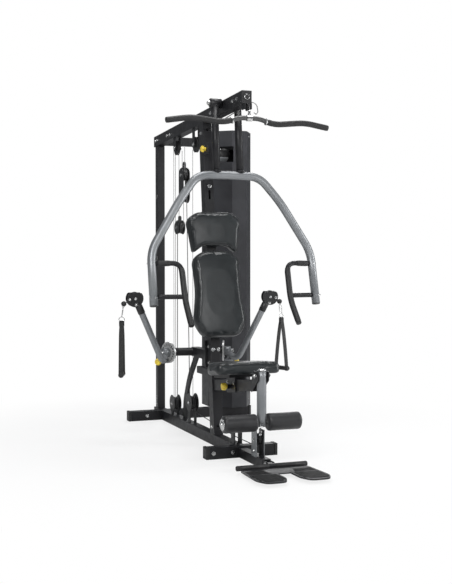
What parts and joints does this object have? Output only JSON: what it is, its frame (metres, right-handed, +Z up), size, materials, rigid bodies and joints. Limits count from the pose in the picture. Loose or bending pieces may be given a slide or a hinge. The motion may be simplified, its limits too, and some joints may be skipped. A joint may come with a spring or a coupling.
{
  "type": "lat pulldown machine",
  "caption": "Home gym with an overhead lat pulldown bar, hanging press arm, swinging cable arms with strap handles, padded seat, leg developer, weight stack and folding foot rest.",
  "frame": {"origin": "on the floor, in the centre plane of the frame, under the base beam and 0.93 m ahead of the rear upright", "axes": "+Z up, -Y towards the front of the machine where the user sits, +X to the right seen from the front"},
  "size_m": [1.269, 2.505, 2.141],
  "materials": {
    "frame_black": "satin powder coat",
    "arm_grey": "metallic grey paint",
    "bright_steel": "bright plating",
    "black_plastic": "moulded",
    "rubber_black": "moulded rubber",
    "pad_leather": "dark upholstery vinyl",
    "foam_black": "closed-cell foam",
    "knob_yellow": "moulded yellow",
    "cable_black": "coated steel cable",
    "webbing_black": "woven webbing",
    "iron_black": "painted"
  },
  "bodies": {
    "frame": {"base_beam": "frame_black", "rear_foot": "frame_black", "front_foot": "frame_black", "foot_cap_front_left": "rubber_black", "foot_cap_front_right": "rubber_black", "foot_cap_rear_left": "rubber_black", "foot_cap_rear_right": "rubber_black", "rear_upright": "frame_black", "front_upright": "frame_black", "top_beam": "frame_black", "top_cross_beam": "frame_black", "nose_cap": "black_plastic", "shroud": "frame_black", "guide_rod_left": "bright_steel", "guide_rod_right": "bright_steel", "stack_lower": "iron_black", "cross_bracket": "frame_black", "curved_brace": "frame_black", "ratchet_disc_left": "bright_steel", "ratchet_disc_right": "bright_steel", "pivot_bolt": "bright_steel", "block_upper": "black_plastic", "block_lower": "black_plastic", "head_pad": "pad_leather", "back_pad": "pad_leather", "seat_beam": "frame_black", "foot_beam": "frame_black", "cable_top": "cable_black", "cable_low": "cable_black", "cable_rear": "cable_black", "lat_drop": "cable_black"},
    "press": {"press_arm": "arm_grey", "handle_left": "rubber_black", "handle_right": "rubber_black"},
    "pulldown": {"lat_bar": "rubber_black", "lat_hook": "bright_steel"},
    "lifted_plates": {"stack_top": "iron_black"},
    "selector": {"selector_pin": "knob_yellow"},
    "arm_left": {"cable_arm_left": "arm_grey"},
    "arm_right": {"cable_arm_right": "arm_grey"},
    "housing_left": {"pulley_housing_left": "black_plastic"},
    "housing_right": {"pulley_housing_right": "black_plastic"},
    "strap_left": {"strap_handle_left": "webbing_black"},
    "strap_right": {"strap_handle_right": "webbing_black"},
    "pull_knob_left": {"arm_knob_left": "knob_yellow"},
    "pull_knob_right": {"arm_knob_right": "knob_yellow"},
    "seat": {"seat_carriage": "frame_black", "seat_pad": "pad_leather"},
    "seat_pull_knob": {"seat_knob": "knob_yellow"},
    "leg_developer": {"leg_arm": "arm_grey"},
    "roller_left": {"foam_roller_left": "foam_black"},
    "roller_right": {"foam_roller_right": "foam_black"},
    "foot_rest": {"foot_plate": "frame_black"},
    "top_pull_knob": {"star_knob": "knob_yellow"},
    "wheel_nose": {"pulley_nose": "black_plastic"},
    "wheel_top_mid": {"pulley_top_mid": "black_plastic"},
    "wheel_top_rear": {"pulley_top_rear": "black_plastic"},
    "wheel_low_front": {"pulley_low_front": "black_plastic"},
    "wheel_low_mid": {"pulley_low_mid": "black_plastic"},
    "wheel_low_rear": {"pulley_low_rear": "black_plastic"}
  },
  "joints": [
    {"name": "press_swing", "type": "hinge", "parent": "frame", "child": "press", "pos_m": [0, -0.436, 2.112], "axis": [-1, 0, 0], "range_deg": [0, 40]},
    {"name": "lat_pull", "type": "slide", "parent": "frame", "child": "pulldown", "axis": [0, 0, -1], "range_m": [0, 0.6], "deforming": ["lat_drop"]},
    {"name": "stack_lift", "type": "slide", "parent": "frame", "child": "lifted_plates", "axis": [0, 0, 1], "range_m": [0, 0.6]},
    {"name": "selector_pull", "type": "slide", "parent": "lifted_plates", "child": "selector", "axis": [0, -1, 0], "range_m": [0, 0.045]},
    {"name": "arm_swing_left", "type": "hinge", "parent": "frame", "child": "arm_left", "pos_m": [-0.193, 0.12, 0.556], "axis": [0.9205, 0.3907, 0], "range_deg": [-30, 90]},
    {"name": "arm_swing_right", "type": "hinge", "parent": "frame", "child": "arm_right", "pos_m": [0.193, 0.12, 0.556], "axis": [0.9205, -0.3907, 0], "range_deg": [-30, 90]},
    {"name": "arm_knob_pull_left", "type": "slide", "parent": "arm_left", "child": "pull_knob_left", "axis": [-0.9205, -0.3907, 0], "range_m": [0, 0.01], "stiffness_N_per_m": 900},
    {"name": "arm_knob_pull_right", "type": "slide", "parent": "arm_right", "child": "pull_knob_right", "axis": [0.9205, -0.3907, 0], "range_m": [0, 0.01], "stiffness_N_per_m": 900},
    {"name": "housing_swivel_left", "type": "hinge", "parent": "arm_left", "child": "housing_left", "pos_m": [-0.44062, -0.02619, 0.88135], "axis": [-0.4164, -0.126, 0.9004], "range_deg": [-60, 60]},
    {"name": "housing_swivel_right", "type": "hinge", "parent": "arm_right", "child": "housing_right", "pos_m": [0.44062, -0.02619, 0.88135], "axis": [0.4164, -0.126, 0.9004], "range_deg": [-60, 60]},
    {"name": "strap_swing_left", "type": "hinge", "parent": "housing_left", "child": "strap_left", "pos_m": [-0.53594, -0.03329, 0.88736], "axis": [1, 0, 0], "range_deg": [-35, 35]},
    {"name": "strap_swing_right", "type": "hinge", "parent": "housing_right", "child": "strap_right", "pos_m": [0.53594, -0.03329, 0.88736], "axis": [1, 0, 0], "range_deg": [-35, 35]},
    {"name": "seat_slide", "type": "slide", "parent": "frame", "child": "seat", "axis": [0, -0.994, 0.1097], "range_m": [-0.03, 0.06]},
    {"name": "seat_knob_pull", "type": "slide", "parent": "seat", "child": "seat_pull_knob", "axis": [-1, 0, 0], "range_m": [0, 0.01], "stiffness_N_per_m": 900},
    {"name": "top_knob_pull", "type": "slide", "parent": "frame", "child": "top_pull_knob", "axis": [-1, 0, 0], "range_m": [0, 0.01], "stiffness_N_per_m": 900},
    {"name": "leg_swing", "type": "hinge", "parent": "frame", "child": "leg_developer", "pos_m": [0, -1, 0.515], "axis": [-1, 0, 0], "range_deg": [0, 70]},
    {"name": "roller_spin_left", "type": "hinge", "parent": "leg_developer", "child": "roller_left", "pos_m": [-0.133, -1, 0.252], "axis": [1, 0, 0], "continuous": true},
    {"name": "roller_spin_right", "type": "hinge", "parent": "leg_developer", "child": "roller_right", "pos_m": [0.133, -1, 0.252], "axis": [1, 0, 0], "continuous": true},
    {"name": "foot_rest_fold", "type": "hinge", "parent": "frame", "child": "foot_rest", "pos_m": [0, -1.112, 0.036], "axis": [-1, 0, 0], "range_deg": [0, 60]},
    {"name": "nose_wheel_spin", "type": "hinge", "parent": "frame", "child": "wheel_nose", "pos_m": [0, -0.79, 2.041], "axis": [1, 0, 0], "continuous": true},
    {"name": "top_mid_wheel_spin", "type": "hinge", "parent": "frame", "child": "wheel_top_mid", "pos_m": [0, 0.114, 1.925], "axis": [1, 0, 0], "continuous": true},
    {"name": "top_rear_wheel_spin", "type": "hinge", "parent": "frame", "child": "wheel_top_rear", "pos_m": [0, 0.52, 1.945], "axis": [1, 0, 0], "continuous": true},
    {"name": "low_front_wheel_spin", "type": "hinge", "parent": "frame", "child": "wheel_low_front", "pos_m": [0, -0.948, 0.15], "axis": [1, 0, 0], "continuous": true},
    {"name": "low_mid_wheel_spin", "type": "hinge", "parent": "frame", "child": "wheel_low_mid", "pos_m": [0, 0.201, 0.205], "axis": [1, 0, 0], "continuous": true},
    {"name": "low_rear_wheel_spin", "type": "hinge", "parent": "frame", "child": "wheel_low_rear", "pos_m": [0, 0.569, 0.151], "axis": [1, 0, 0], "continuous": true}
  ],
  "couplings": [
    {"joint": "stack_lift", "follows": "lat_pull", "ratio": 1}
  ]
}
